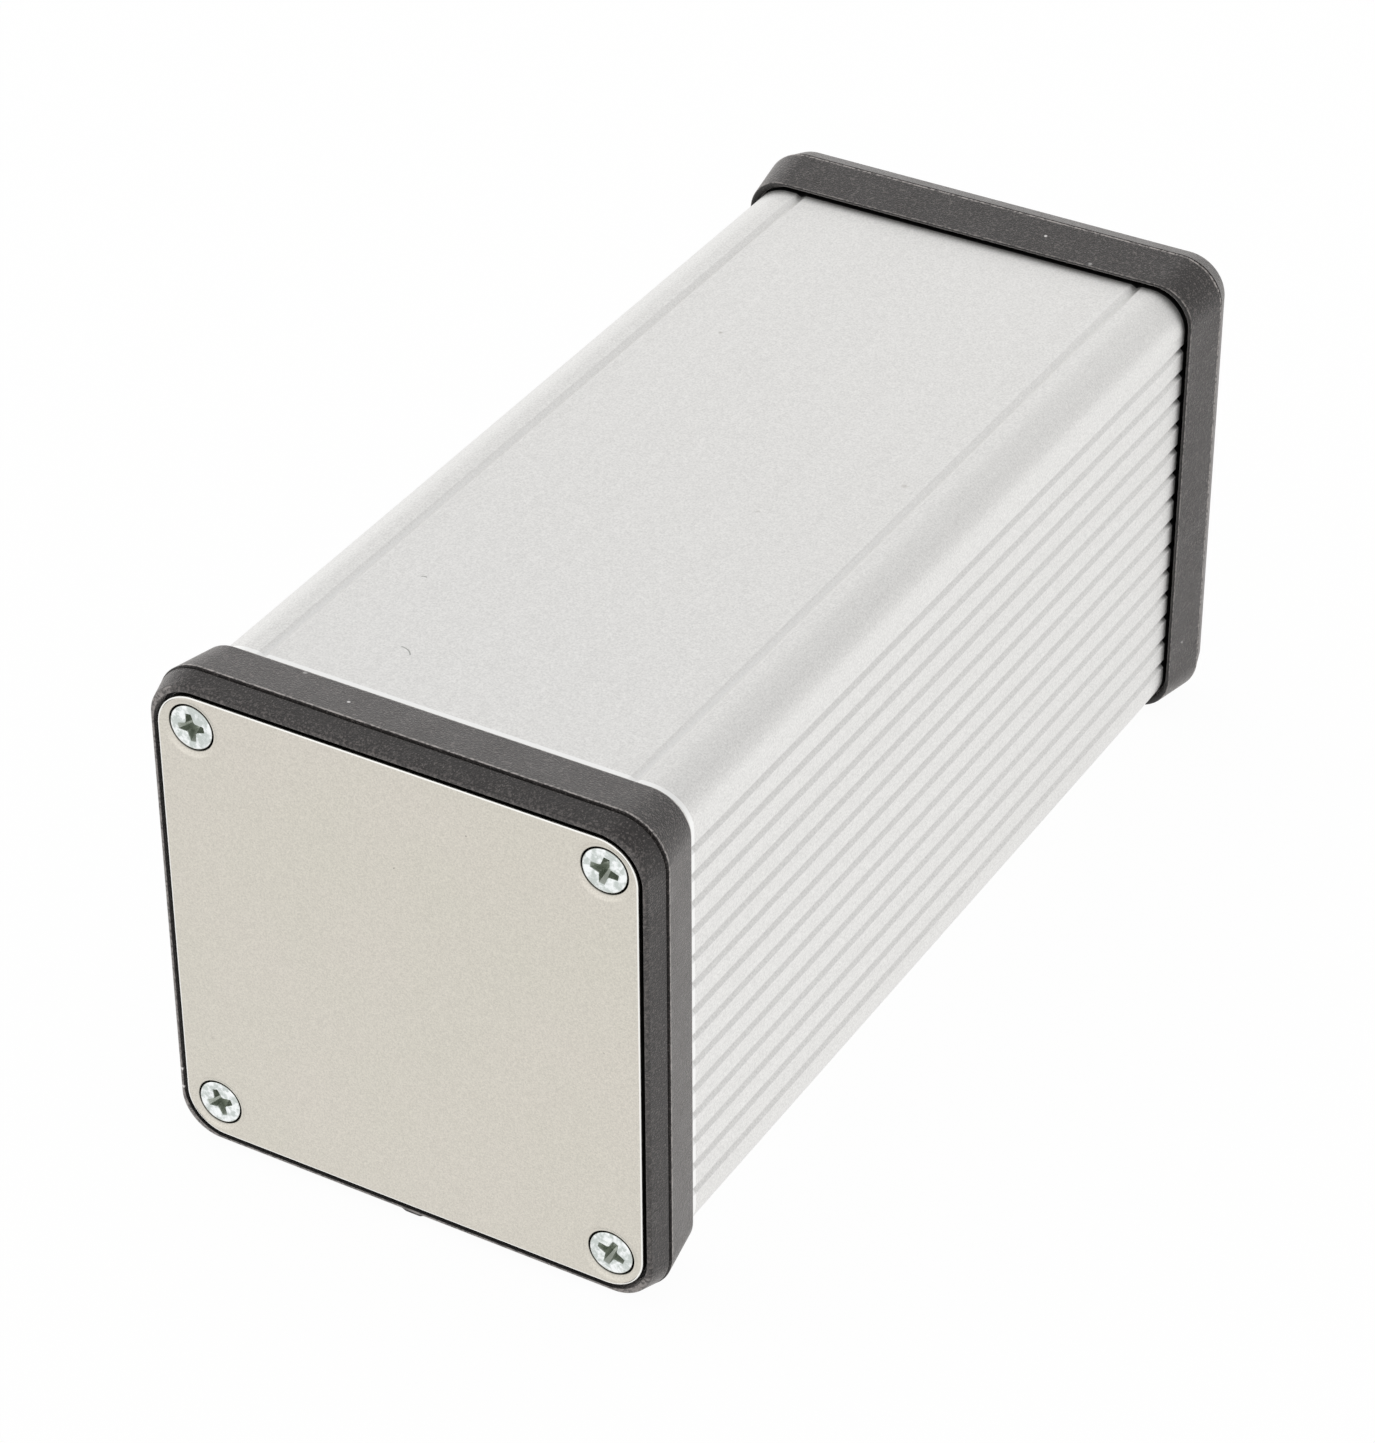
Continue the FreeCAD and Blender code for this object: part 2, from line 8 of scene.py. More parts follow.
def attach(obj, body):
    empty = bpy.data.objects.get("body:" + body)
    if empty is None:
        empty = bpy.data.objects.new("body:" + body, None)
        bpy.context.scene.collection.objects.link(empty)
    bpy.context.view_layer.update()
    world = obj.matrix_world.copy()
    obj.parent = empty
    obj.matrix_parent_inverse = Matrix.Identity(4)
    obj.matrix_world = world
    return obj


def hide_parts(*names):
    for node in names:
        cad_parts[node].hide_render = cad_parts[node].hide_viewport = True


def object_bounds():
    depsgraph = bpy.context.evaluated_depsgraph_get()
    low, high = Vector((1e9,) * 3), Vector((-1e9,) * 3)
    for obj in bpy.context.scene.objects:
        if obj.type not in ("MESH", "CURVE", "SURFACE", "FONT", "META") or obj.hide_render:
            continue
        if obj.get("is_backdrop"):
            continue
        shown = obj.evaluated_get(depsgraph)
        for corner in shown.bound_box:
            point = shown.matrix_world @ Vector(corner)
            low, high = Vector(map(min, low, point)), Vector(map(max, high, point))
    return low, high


# A square aluminium instrument case: an extruded tube closed at both ends by a black moulded
# bezel and a flat aluminium panel. Metres; the front panel faces -Y and +Z is up. The sizes in
# the sections are written in millimetres and turned into metres where a mesh is made.
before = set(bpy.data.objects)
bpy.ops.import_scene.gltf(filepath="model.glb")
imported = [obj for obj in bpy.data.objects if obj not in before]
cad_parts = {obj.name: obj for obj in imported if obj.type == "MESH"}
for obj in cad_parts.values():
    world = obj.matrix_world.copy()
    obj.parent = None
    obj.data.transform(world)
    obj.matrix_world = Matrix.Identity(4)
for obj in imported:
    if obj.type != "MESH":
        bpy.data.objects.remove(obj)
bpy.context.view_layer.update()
mm = 0.001


# The tube: aluminium pushed through a die, so every groove runs its whole length, then etched
# to a fine satin and anodised clear. It was sawn to length, and its ends stand in the bezels.
tube_half = 39.0
tube_end = 81.5
tube_corner = 6.2
tube_corner_steps = 28
tube_wall = 1.8
axis_height = 41.4
# Where the grooves are on the sides and on the top, with their half width and depth, and the
# radius and steps that round their mouths and their floors.
side_span = 60.2
side_groove = [side_span * (place / 13 - 0.5) for place in range(14)], 0.75, 0.7
top_groove = [-30.3, 30.3], 0.9, 0.45
groove_mouth = 0.14, 3
groove_floor = 0.1, 2
# The open channels in the corners take the screws, and the ribs on the side walls hold boards.
screw_axis = 33.5
boss_radius = 3.3
channel_radius = 1.5
channel_slot_half = 0.8
guide_tip = 35.0
guide_slots = [5.03, 15.10, 25.17]
guide_slot_half = 0.9
guide_rib_reach = 2.1


def eased(corners):
    """The outline through (across, up, radius, steps) corners, each rounded by its own radius."""
    outline = []
    earlier = corners[-1:] + corners[:-1]
    later = corners[1:] + corners[:1]
    for before, corner, after in zip(earlier, corners, later):
        point = Vector(corner[:2])
        radius, steps = corner[2:]
        if not radius:
            outline.append(point)
            continue
        arriving = (Vector(before[:2]) - point).normalized()
        leaving = (Vector(after[:2]) - point).normalized()
        half_angle = arriving.angle(leaving) / 2
        centre = point + (arriving + leaving).normalized() * radius / math.sin(half_angle)
        arm = point + arriving * radius / math.tan(half_angle) - centre
        side = 1 if arriving.cross(leaving) < 0 else -1
        for part in range(steps + 1):
            turn = side * (math.pi - 2 * half_angle) * part / steps
            outline.append(centre + Matrix.Rotation(turn, 2) @ arm)
    return outline


def tube_skin():
    """The outside of the section: four sides with their grooves, and four round corners."""
    corners = []
    for side in range(4):
        turn = Matrix.Rotation(side * math.pi / 2, 2)
        stops = []
        places, half_width, low = (side_groove, top_groove)[side % 2]
        for groove in places:
            stops += [
                (0, groove - half_width, *groove_mouth),
                (-low, groove, *groove_floor),
                (0, groove + half_width, *groove_mouth),
            ]
        stops.append((0, tube_half, tube_corner, tube_corner_steps))
        for depth, along, radius, steps in stops:
            place = turn @ Vector((tube_half + depth, along))
            corners.append((place.x, place.y, radius, steps))
    return eased(corners)


def channel_arc(radius, start, sweep, parts):
    """Points on an arc about the axis of a screw channel."""
    turns = [start + sweep * part / parts for part in range(parts + 1)]
    return [
        (screw_axis + radius * math.cos(turn), screw_axis + radius * math.sin(turn))
        for turn in turns
    ]


def tube_hollow():
    """The inside of the section, worked out for one quarter and mirrored into the others."""
    wall = tube_half - tube_wall
    nose = screw_axis - boss_radius
    quarter = []
    for slot in guide_slots:
        for low, high in (
            (slot - guide_rib_reach, slot - guide_slot_half),
            (slot + guide_slot_half, slot + guide_rib_reach),
        ):
            quarter += [(wall, low), (guide_tip, low), (guide_tip, high), (wall, high)]
    quarter.append((wall, nose))
    mouth = math.asin(channel_slot_half / boss_radius)
    quarter += channel_arc(boss_radius, 1.5 * math.pi, -(math.pi / 2 - mouth), 8)
    lips = math.asin(channel_slot_half / channel_radius)
    quarter += channel_arc(channel_radius, math.pi + lips, 2 * math.pi - 2 * lips, 24)
    quarter += [(nose, screw_axis + channel_slot_half), (nose, wall)]
    mirrored = [(-x, z) for x, z in reversed(quarter)]
    turned = [(-x, -z) for x, z in quarter]
    flipped = [(x, -z) for x, z in reversed(quarter)]
    return [Vector(point) for point in quarter + mirrored + turned + flipped]


def new_shape():
    """An empty mesh whose vertices carry a tone, which a material turns into wear, painted shade
    and painted highlights.
    """
    shape = bmesh.new()
    shape.verts.layers.float.new("tone")
    return shape


def at_depth(shape, outline, depth, tone=0.0):
    """A ring of vertices round the section at a depth along the case, from an outline in mm."""
    layer = shape.verts.layers.float["tone"]
    ring = [
        shape.verts.new((point.x * mm, depth * mm, (point.y + axis_height) * mm))
        for point in outline
    ]
    for vertex in ring:
        vertex[layer] = tone
    return ring


def skinned(shape, rings, closed=False):
    """Quads between neighbouring rings of vertices that have the same count."""
    follow = rings[1:] + rings[:1] if closed else rings[1:]
    for ring, next_ring in zip(rings, follow):
        for place in range(len(ring)):
            beside = (place + 1) % len(ring)
            shape.faces.new((ring[place], ring[beside], next_ring[beside], next_ring[place]))


def filled(shape, *rings):
    """A flat face between an outer ring and the rings of its openings."""
    edges = []
    for ring in rings:
        for place in range(len(ring)):
            pair = (ring[place - 1], ring[place])
            edges.append(shape.edges.get(pair) or shape.edges.new(pair))
    bmesh.ops.triangle_fill(shape, use_beauty=True, use_dissolve=False, edges=edges)


def keep_flats_flat(piece):
    """Shades by the size of the faces, so that a flat beside a bend doesn't look dished."""
    shading = piece.modifiers.new("FlatFacesStayFlat", "WEIGHTED_NORMAL")
    shading.keep_sharp = True
    shading.weight = 100


def piece_from(shape, name, crisp=32):
    """A smooth shaded object whose edges stay crisp above an angle in degrees."""
    bmesh.ops.recalc_face_normals(shape, faces=shape.faces)
    mesh = bpy.data.meshes.new(name)
    shape.to_mesh(mesh)
    shape.free()
    mesh.shade_smooth()
    mesh.set_sharp_from_angle(angle=math.radians(crisp))
    piece = bpy.data.objects.new(name, mesh)
    bpy.context.scene.collection.objects.link(piece)
    keep_flats_flat(piece)
    return piece


# From here on, tree is the node tree in hand: a group's, a material's or, at the end, the tent's.
def step(kind, settings=None, **inputs):
    """A node in the tree in hand. An input is another node's output or a plain value, and is
    given by the socket's name or, as _0, by its place."""
    made = tree.nodes.new(kind)
    for name, value in (settings or {}).items():
        setattr(made, name, value)
    for name, value in inputs.items():
        socket = made.inputs[int(name[1:]) if name[0] == "_" else name.replace("_", " ")]
        if isinstance(value, bpy.types.NodeSocket):
            tree.links.new(value, socket)
        else:
            socket.default_value = value
    return made


def maths(operation, *values):
    """The result of an operation on up to three values."""
    inputs = {f"_{place}": value for place, value in enumerate(values)}
    return step("ShaderNodeMath", {"operation": operation}, **inputs).outputs[0]


def vector_maths(operation, *values):
    """The node of an operation on up to three vectors."""
    inputs = {f"_{place}": value for place, value in enumerate(values)}
    return step("ShaderNodeVectorMath", {"operation": operation}, **inputs)


def banded(value, low, high, start, end):
    """A value eased from one level to another between two limits."""
    return step(
        "ShaderNodeMapRange", {"interpolation_type": "SMOOTHSTEP"},
        Value=value, From_Min=low, From_Max=high, To_Min=start, To_Max=end,
    ).outputs[0]


def spread(noise, low, high):
    """A noise's usual range stretched in a straight line to two levels."""
    return step(
        "ShaderNodeMapRange",
        Value=noise, From_Min=0.3, From_Max=0.7, To_Min=low, To_Max=high,
    ).outputs[0]


def times(first, second):
    """The product of two values."""
    return maths("MULTIPLY", first, second)


def toward(share, first, second):
    """A colour moved toward another by a share."""
    mix = step("ShaderNodeMix", {"data_type": "RGBA"}, _0=share, _6=first, _7=second)
    return mix.outputs[2]


def shaded(colour, level):
    """A colour made lighter or darker by a level."""
    return step("ShaderNodeVectorMath", {"operation": "SCALE"}, _0=colour, Scale=level).outputs[0]


def distance(place, spot):
    """How far the shaded point lies from a spot given in millimetres."""
    return vector_maths("DISTANCE", place, Vector(spot) * mm).outputs["Value"]


def vertex_tone():
    """The tone that the mesh's vertices carry."""
    return step("ShaderNodeAttribute", {"attribute_name": "tone"}).outputs["Fac"]


def effect(name, inputs, outputs):
    """An empty shader group with number sockets, and its two end nodes."""
    group = bpy.data.node_groups.new(name, "ShaderNodeTree")
    for label, value in inputs:
        socket = group.interface.new_socket(label, in_out="INPUT", socket_type="NodeSocketFloat")
        socket.default_value = value
    for label in outputs:
        group.interface.new_socket(label, in_out="OUTPUT", socket_type="NodeSocketFloat")
    return group, group.nodes.new("NodeGroupInput"), group.nodes.new("NodeGroupOutput")


def built(group, **inputs):
    """A group placed in a material with that material's own values."""
    return step("ShaderNodeGroup", {"node_tree": group}, **inputs)


def new_material(name):
    """A new material with its tree and its Principled shader."""
    material = bpy.data.materials.new(name)
    material.use_nodes = True
    return material, material.node_tree, material.node_tree.nodes["Principled BSDF"]


def finished(shader, colour, rough, relief, strength, relief_height):
    """Feeds a shader its colour, its roughness and its relief, a bump of a height in metres."""
    tree.links.new(colour, shader.inputs["Base Color"])
    tree.links.new(rough, shader.inputs["Roughness"])
    bump = step("ShaderNodeBump", Strength=strength, Distance=relief_height, Height=relief)
    tree.links.new(bump.outputs[0], shader.inputs["Normal"])


# Grain: the sparkle and fine relief of an etched, sanded or moulded surface.
grain, given, result = effect(
    "surface_grain", [("Fineness", 4000.0), ("Along", 1.0), ("Seed", 0.0)], ["Fine", "Cloud"]
)
tree = grain
spot = step("ShaderNodeTexCoord").outputs["Object"]
stretch = step("ShaderNodeCombineXYZ", X=1.0, Y=given.outputs["Along"], Z=1.0).outputs[0]
spot = vector_maths("MULTIPLY", spot, stretch).outputs[0]
fine = step(
    "ShaderNodeTexNoise", {"noise_dimensions": "4D"}, Vector=spot,
    W=given.outputs["Seed"], Scale=given.outputs["Fineness"], Detail=2.0, Roughness=0.6,
)
cloud = step("ShaderNodeTexNoise", Vector=spot, Scale=45.0, Detail=4.0, Roughness=0.6)
tree.links.new(fine.outputs["Fac"], result.inputs["Fine"])
tree.links.new(cloud.outputs["Fac"], result.inputs["Cloud"])

# Dust: small pale specks that cling here and there, none of them round.
dust, given, result = effect("clinging_dust", [("Fineness", 500.0), ("Amount", 0.1)], ["Speck"])
tree = dust
spot = step("ShaderNodeTexCoord").outputs["Object"]
bend = step("ShaderNodeTexNoise", Vector=spot, Scale=1500.0).outputs["Color"]
bend_reach = 0.0005
bent = vector_maths("MULTIPLY_ADD", bend, (bend_reach,) * 3, spot).outputs[0]
cells = step("ShaderNodeTexVoronoi", Vector=bent, Scale=given.outputs["Fineness"])
size = step("ShaderNodeSeparateColor", Color=cells.outputs["Color"])
chosen = maths("LESS_THAN", size.outputs[0], given.outputs["Amount"])
reach = step("ShaderNodeMapRange", Value=size.outputs[1], To_Min=0.05, To_Max=0.22).outputs[0]
speck = times(banded(cells.outputs["Distance"], reach, 0.02, 0.0, 1.0), chosen)
tree.links.new(speck, result.inputs["Speck"])

anodised, tree, metal = new_material("satin_anodised_extrusion")
metal.inputs["Metallic"].default_value = 1.0
sparkle = built(grain, Fineness=3600.0, Seed=2.0)
draw = built(grain, Fineness=520.0, Along=0.012, Seed=5.0)
specks = built(dust, Fineness=260.0, Amount=0.025)
colour = toward(draw.outputs["Fine"], (0.824, 0.816, 0.798, 1), (0.864, 0.857, 0.841, 1))
colour = shaded(colour, spread(sparkle.outputs["Fine"], 0.86, 1.11))
colour = toward(specks.outputs["Speck"], colour, (0.55, 0.53, 0.5, 1))
# A painted highlight rings the tube just behind the front bezel's lip, a little further back on the
# sides than on the top, and painted shade darkens the gaps at both lips.
place = step("ShaderNodeTexCoord").outputs["Object"]
along = step("ShaderNodeSeparateXYZ", Vector=place)
ring_middle = banded(maths("ABSOLUTE", along.outputs["X"]), 0.034, 0.039, -0.07688, -0.07642)
ring_half_width = 0.0004
painted_highlight_and_flash = maths("COMPARE", along.outputs["Y"], ring_middle, ring_half_width)
colour = toward(painted_highlight_and_flash, colour, (0.99, 0.99, 0.98, 1))
# Painted shade: the tube goes nearly black in the gaps under both lips.
painted_lip_shade = banded(maths("ABSOLUTE", along.outputs["Y"]), 0.07815, 0.0784, 0.0, 0.96)
colour = toward(painted_lip_shade, colour, (0.02, 0.02, 0.02, 1))
# The floors of the grooves are painted darker, partly duller etching and partly painted shade;
# the top ones at the front are painted lighter instead, a painted highlight.
low = vertex_tone()
colour = toward(low, colour, (0.70, 0.70, 0.69, 1))
colour = toward(banded(low, -1.0, 0.0, 1.0, 0.0), colour, (0.93, 0.928, 0.92, 1))
# Two short curled fibres lie on the top, each drawn as part of a fine circle: its centre and
# radius, and the middle and half length of the part that shows.
for centre, radius, middle, reach in (
    ((-14.41, -68.0, 80.4), 2.4, (-13.27, -65.89, 80.4), 1.5),
    ((-21.35, -49.5, 80.4), 0.74, (-21.56, -48.8, 80.4), 0.5),
):
    off_line = maths("ABSOLUTE", maths("SUBTRACT", distance(place, centre), radius * mm))
    # Full to 0.04 mm from its line and gone at 0.14 mm, and faded out at its ends.
    fibre = times(
        banded(off_line, 0.04 * mm, 0.14 * mm, 0.85, 0.0),
        banded(distance(place, middle), 0.8 * reach * mm, reach * mm, 1.0, 0.0),
    )
    colour = toward(fibre, colour, (0.30, 0.31, 0.29, 1))
rough = spread(draw.outputs["Cloud"], 0.37, 0.43)
relief = maths("MULTIPLY_ADD", draw.outputs["Fine"], 0.5, sparkle.outputs["Fine"])
finished(metal, colour, rough, relief, 0.25, 0.00003)

shape = new_shape()
skin_front, skin_back = [at_depth(shape, tube_skin(), end) for end in (-tube_end, tube_end)]
hollow_front, hollow_back = [
    at_depth(shape, tube_hollow(), end) for end in (-tube_end, tube_end)
]
# The tones of the floors of the side grooves, and of the top ones at the front and at the back:
# painted shade with duller etching, and where negative a painted highlight.
# A groove's floor lies between the round corners and below the skin.
side_tone, top_front_tone, top_back_tone = 0.1, -0.6, 0.15
between_corners = 31.5
below_skin = tube_half - 0.3
on_a_side = 35.0
layer = shape.verts.layers.float["tone"]
for vertex in skin_front + skin_back:
    across = abs(vertex.co.x) / mm
    nearer, farther = sorted((across, abs(vertex.co.z / mm - axis_height)))
    if nearer < between_corners and farther < below_skin:
        top_tone = top_front_tone if vertex.co.y < 0 else top_back_tone
        vertex[layer] = side_tone if across > on_a_side else top_tone
skinned(shape, [skin_front, skin_back])
skinned(shape, [hollow_front, hollow_back])
filled(shape, skin_front, hollow_front)
filled(shape, skin_back, hollow_back)
tube = piece_from(shape, "satin_tube")
tube.data.materials.append(anodised)
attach(tube, "root")
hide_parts("extruded_body")


# The end bezels: one moulding in black plastic, used at both ends. Its two mould halves meet
# at the widest line, it has a fine spark-eroded grain, and it grips the last 3 mm of the tube.
half_length = 90.8
# Where the corners turn, out from the axis: the outside's, the panel recess's, the tube socket's.
outer_centre = 33.8
recess_centre = 32.7
socket_centre = 32.8
corner_steps = 24
# How far past the tube the recess's wall and the lip stand, and the depth of the parting line.
recess_overhang = 0.6
lip_overhang = 0.3
parting_depth = 4.0


def square_loop(overhang, centre):
    """A square with round corners, at an overhang past the tube and with given corner centres."""
    radius = tube_half + overhang - centre
    loop = []
    for quarter in range(4):
        middle = Matrix.Rotation(quarter * math.pi / 2, 2) @ Vector((centre, centre))
        for place in range(corner_steps + 1):
            turn = (quarter + place / corner_steps) * math.pi / 2
            loop.append(middle + Vector((math.cos(turn), math.sin(turn))) * radius)
    return loop


# The moulding's section, as overhang past the tube, depth from its front, radius and steps.
bezel_section = eased([
    # The panel's recess, the rounded rim and the front slope.
    (recess_overhang, 2.2, 0, 0),
    (recess_overhang, 0.05, 0.06, 3),
    (1.15, 0.0, 0.6, 9),
    (2.20, 3.48, 0.05, 2),
    # The notch at the parting line, and the crest behind it.
    (1.80, 3.57, 0, 0),
    (1.80, 3.98, 0, 0),
    (2.35, 4.00, 0, 0),
    (2.40, 4.03, 0, 0),
    (2.352, 4.31, 0, 0),
    (2.334, 4.42, 0, 0),
    # The long slope, and the lip round the tube.
    (1.085, 11.80, 0, 0),
    (1.056, 11.97, 0, 0),
    (1.0, 12.3, 0.15, 4),
    (0.75, 12.3, 0.08, 2),
    (lip_overhang, 11.85, 0.1, 2),
    (lip_overhang, 9.3, 0, 0),
    # The stop for the tube's end, the inside of the frame, the web and the panel's seat.
    (-0.5, 9.3, 0, 0),
    (-0.5, 3.2, 0.4, 3),
    (-3.6, 3.2, 0, 0),
    (-3.6, 1.2, 0, 0),
    (-0.02, 1.2, 0, 0),
    (-0.02, 2.2, 0, 0),
])


def corner_centre(overhang, depth):
    """Where the corners of a ring turn, from the inside's centre out to the outside's."""
    inner_centre = recess_centre if depth < 3 else socket_centre
    before_crest = depth < parting_depth + 0.2
    innermost, reach = (recess_overhang, 0.55) if before_crest else (lip_overhang, 0.7)
    share = (overhang - innermost) / reach
    return inner_centre + (outer_centre - inner_centre) * min(1.0, max(0.0, share))


def moulding_tone(overhang, depth):
    """Painted shade in the gaps to the panel and the tube, a painted highlight on the crest, and
    pale flash at the lip's edge.
    """
    in_panel_gap = overhang < recess_overhang + 0.01 and depth > 0.06
    in_tube_gap = overhang < 0.9 and depth > 9.4
    on_crest = overhang > 2.34 and parting_depth < depth < 4.4
    on_lip_edge = overhang > 0.93 and depth > 12.1
    if in_panel_gap or in_tube_gap:
        return -1.0
    return 1.0 if on_crest else 0.6 * on_lip_edge


shape = new_shape()
layer = shape.verts.layers.float["tone"]
rings = []
for overhang, depth in bezel_section:
    loop = square_loop(overhang, corner_centre(overhang, depth))
    ring = at_depth(shape, loop, depth - half_length, moulding_tone(overhang, depth))
    rings.append(ring)
    # The rim's crest is painted paler all round, most at the bottom and on the left: a painted
    # reflection of the white table.
    if 0.64 < overhang < 1.2 and depth < 0.4:
        for vertex in ring:
            reflects_table = vertex.co.z < 6 * mm or vertex.co.x < -36 * mm
            vertex[layer] = 0.6 if reflects_table else 0.2
skinned(shape, rings, closed=True)
# The mark of the mould's gate stands a little proud under the front rim.
gate = eased([
    (-2.2, -40.0, 0, 0), (2.2, -40.0, 0, 0), (1.2, -40.5, 0.6, 3), (-1.2, -40.5, 0.6, 3),
])
gate_rings = [at_depth(shape, gate, depth - half_length) for depth in (0.25, 1.5)]
skinned(shape, gate_rings)
filled(shape, gate_rings[0])
filled(shape, gate_rings[1])

black, tree, plastic = new_material("grained_black_moulding")
texture = built(grain, Fineness=3600.0, Seed=1.0).outputs["Fine"]
scuff = built(grain, Fineness=240.0, Along=0.6, Seed=9.0)
mottle = built(grain, Fineness=1900.0, Seed=12.0).outputs["Fine"]
specks = built(dust, Fineness=420.0, Amount=0.05)
place = step("ShaderNodeTexCoord").outputs["Object"]
lengthwise = step("ShaderNodeSeparateXYZ", Vector=place).outputs["Y"]
edge = vertex_tone()
# Black with the pale grain of the mould's texture, then pale mottling on the front slope, thickest
# toward the rim.
colour = toward(scuff.outputs["Cloud"], (0.0050, 0.0032, 0.0029, 1), (0.0105, 0.0075, 0.0070, 1))
colour = toward(banded(texture, 0.54, 0.68, 0.0, 0.85), colour, (0.130, 0.114, 0.108, 1))
front_slope_mottle = times(
    banded(mottle, 0.50, 0.66, 0.0, 1.0), banded(lengthwise, -0.0903, -0.0874, 0.85, 0.0)
)
front_slope_mottle = times(front_slope_mottle, banded(scuff.outputs["Cloud"], 0.35, 0.62, 0.35, 1.0))
colour = toward(front_slope_mottle, colour, (0.105, 0.091, 0.086, 1))
# The long slope behind the parting line is mottled all over.
mottled = times(
    banded(mottle, 0.54, 0.68, 0.0, 1.0), banded(lengthwise, -0.0868, -0.0862, 0.0, 1.0)
)
colour = toward(mottled, colour, (0.100, 0.087, 0.082, 1))
# The crest and the rim are painted pale in short dashes, painted highlights, and the lip's edge
# shows pale flash; the gaps get painted shade.
painted_highlight_and_flash = times(banded(mottle, 0.40, 0.56, 0.15, 1.0), banded(edge, 0.0, 1.0, 0.0, 1.0))
colour = toward(painted_highlight_and_flash, colour, (0.36, 0.33, 0.315, 1))
colour = toward(specks.outputs["Speck"], colour, (0.42, 0.41, 0.40, 1))
# Painted shade: the gaps to the panel and to the tube go nearly black.
colour = toward(banded(edge, -1.0, -0.2, 1.0, 0.0), colour, (0.002, 0.0017, 0.0016, 1))
# Three white crumbs: one on the long slope at the top, and two low on the left of the rim.
for crumb in ((-11.9, -82.8, 82.15), (-39.75, -90.7, 11.95), (-39.8, -90.7, 8.6)):
    white = banded(distance(place, crumb), 0.16 * mm, 0.34 * mm, 1.0, 0.0)
    colour = toward(white, colour, (0.75, 0.73, 0.72, 1))
rough = spread(scuff.outputs["Fine"], 0.42, 0.54)
finished(plastic, colour, rough, texture, 1.0, 0.00014)
plastic.inputs["IOR"].default_value = 1.54
plastic.inputs["Sheen Weight"].default_value = 0.57
plastic.inputs["Sheen Tint"].default_value = (1.0, 0.955, 0.93, 1)
plastic.inputs["Sheen Roughness"].default_value = 0.4


def turned_round(piece, name):
    """A second piece from the same mesh, turned to face the other way at the other end."""
    second = bpy.data.objects.new(name, piece.data)
    bpy.context.scene.collection.objects.link(second)
    second.rotation_euler.z = math.pi
    keep_flats_flat(second)
    return second


front_bezel = piece_from(shape, "front_moulding")
front_bezel.data.materials.append(black)
rear_bezel = turned_round(front_bezel, "rear_moulding")
for bezel, node in ((front_bezel, "front_bezel"), (rear_bezel, "rear_bezel")):
    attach(bezel, "root")
    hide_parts(node)


# The end panels: 1.2 mm aluminium sheet with a fine satin face, blanked to size. Its corners
# are pressed back into dimples that seat in the bezel and take the screw heads.
panel_half = 39.0
panel_corner = 6.3
panel_thickness = 1.2
dimple_steps = 72
# The edge, as inset, depth and tone, and a dimple from its rim down, as radius, depth and tone.
panel_edge = [
    (0.34, 0.0, 0.0), (0.26, 0.0, 1.0), (0.17, 0.01, 1.0), (0.09, 0.06, 1.0),
    (0.05, 0.15, 0.5), (0.05, 0.28, -1.0), (0.05, panel_thickness, -1.0),
]
dimple_face = [
    (4.90, 0.0, 0), (4.76, 0.012, 0), (4.64, 0.05, 0), (4.50, 0.115, 0), (4.36, 0.19, 0),
    (4.22, 0.26, 0), (4.08, 0.315, 0), (3.97, 0.345, 0), (3.86, 0.37, 0), (3.79, 0.44, -0.5),
    (3.74, 0.60, -1), (3.60, 0.85, -1), (3.30, 1.02, -1), (2.16, 1.96, -1), (2.1, 2.0, 0),
]
dimple_back = [(3.78, 2.0, 0), (4.58, 1.22, 0), (4.7, panel_thickness, 0)]


def ring_at(shape, across, up, radius, depth, tone):
    """A round ring of vertices about a screw's axis at the front of the case."""
    ring = []
    for place in range(dimple_steps):
        turn = 2 * math.pi * place / dimple_steps
        ring.append(Vector((across + radius * math.cos(turn), up + radius * math.sin(turn))))
    return at_depth(shape, ring, depth - half_length, tone)


shape = new_shape()
edge_rings = []
for inset, depth, tone in panel_edge:
    outline = square_loop(-inset, panel_half - panel_corner)
    edge_rings.append(at_depth(shape, outline, depth - half_length, tone))
skinned(shape, edge_rings)
face_holes, back_holes = [], []
for across in (-screw_axis, screw_axis):
    for up in (-screw_axis, screw_axis):
        front_rings = [ring_at(shape, across, up, *row) for row in dimple_face]
        back_rings = [ring_at(shape, across, up, *row) for row in dimple_back]
        skinned(shape, front_rings + back_rings)
        face_holes.append(front_rings[0])
        back_holes.append(back_rings[-1])
filled(shape, edge_rings[0], *face_holes)
filled(shape, edge_rings[-1], *back_holes)

sheet_metal, tree, metal = new_material("satin_aluminium_sheet")
metal.inputs["Metallic"].default_value = 1.0
sparkle = built(grain, Fineness=4200.0, Seed=3.0).outputs["Fine"]
brushed = built(grain, Fineness=900.0, Seed=7.0)
specks = built(dust, Fineness=330.0, Amount=0.03)
colour = toward(brushed.outputs["Cloud"], (0.668, 0.648, 0.568, 1), (0.700, 0.656, 0.597, 1))
colour = shaded(colour, spread(sparkle, 0.86, 1.12))
colour = toward(specks.outputs["Speck"], colour, (0.40, 0.37, 0.33, 1))
# The blanked edge is painted bright, partly bare cut metal and partly a painted highlight; the
# edge's side in the gap and the seat under each head get painted shade.
edge = vertex_tone()
colour = toward(edge, colour, (0.97, 0.965, 0.93, 1))
colour = toward(banded(edge, -1.0, -0.2, 1.0, 0.0), colour, (0.06, 0.058, 0.052, 1))
rough = spread(brushed.outputs["Fine"], 0.36, 0.42)
finished(metal, colour, rough, sparkle, 0.2, 0.00003)

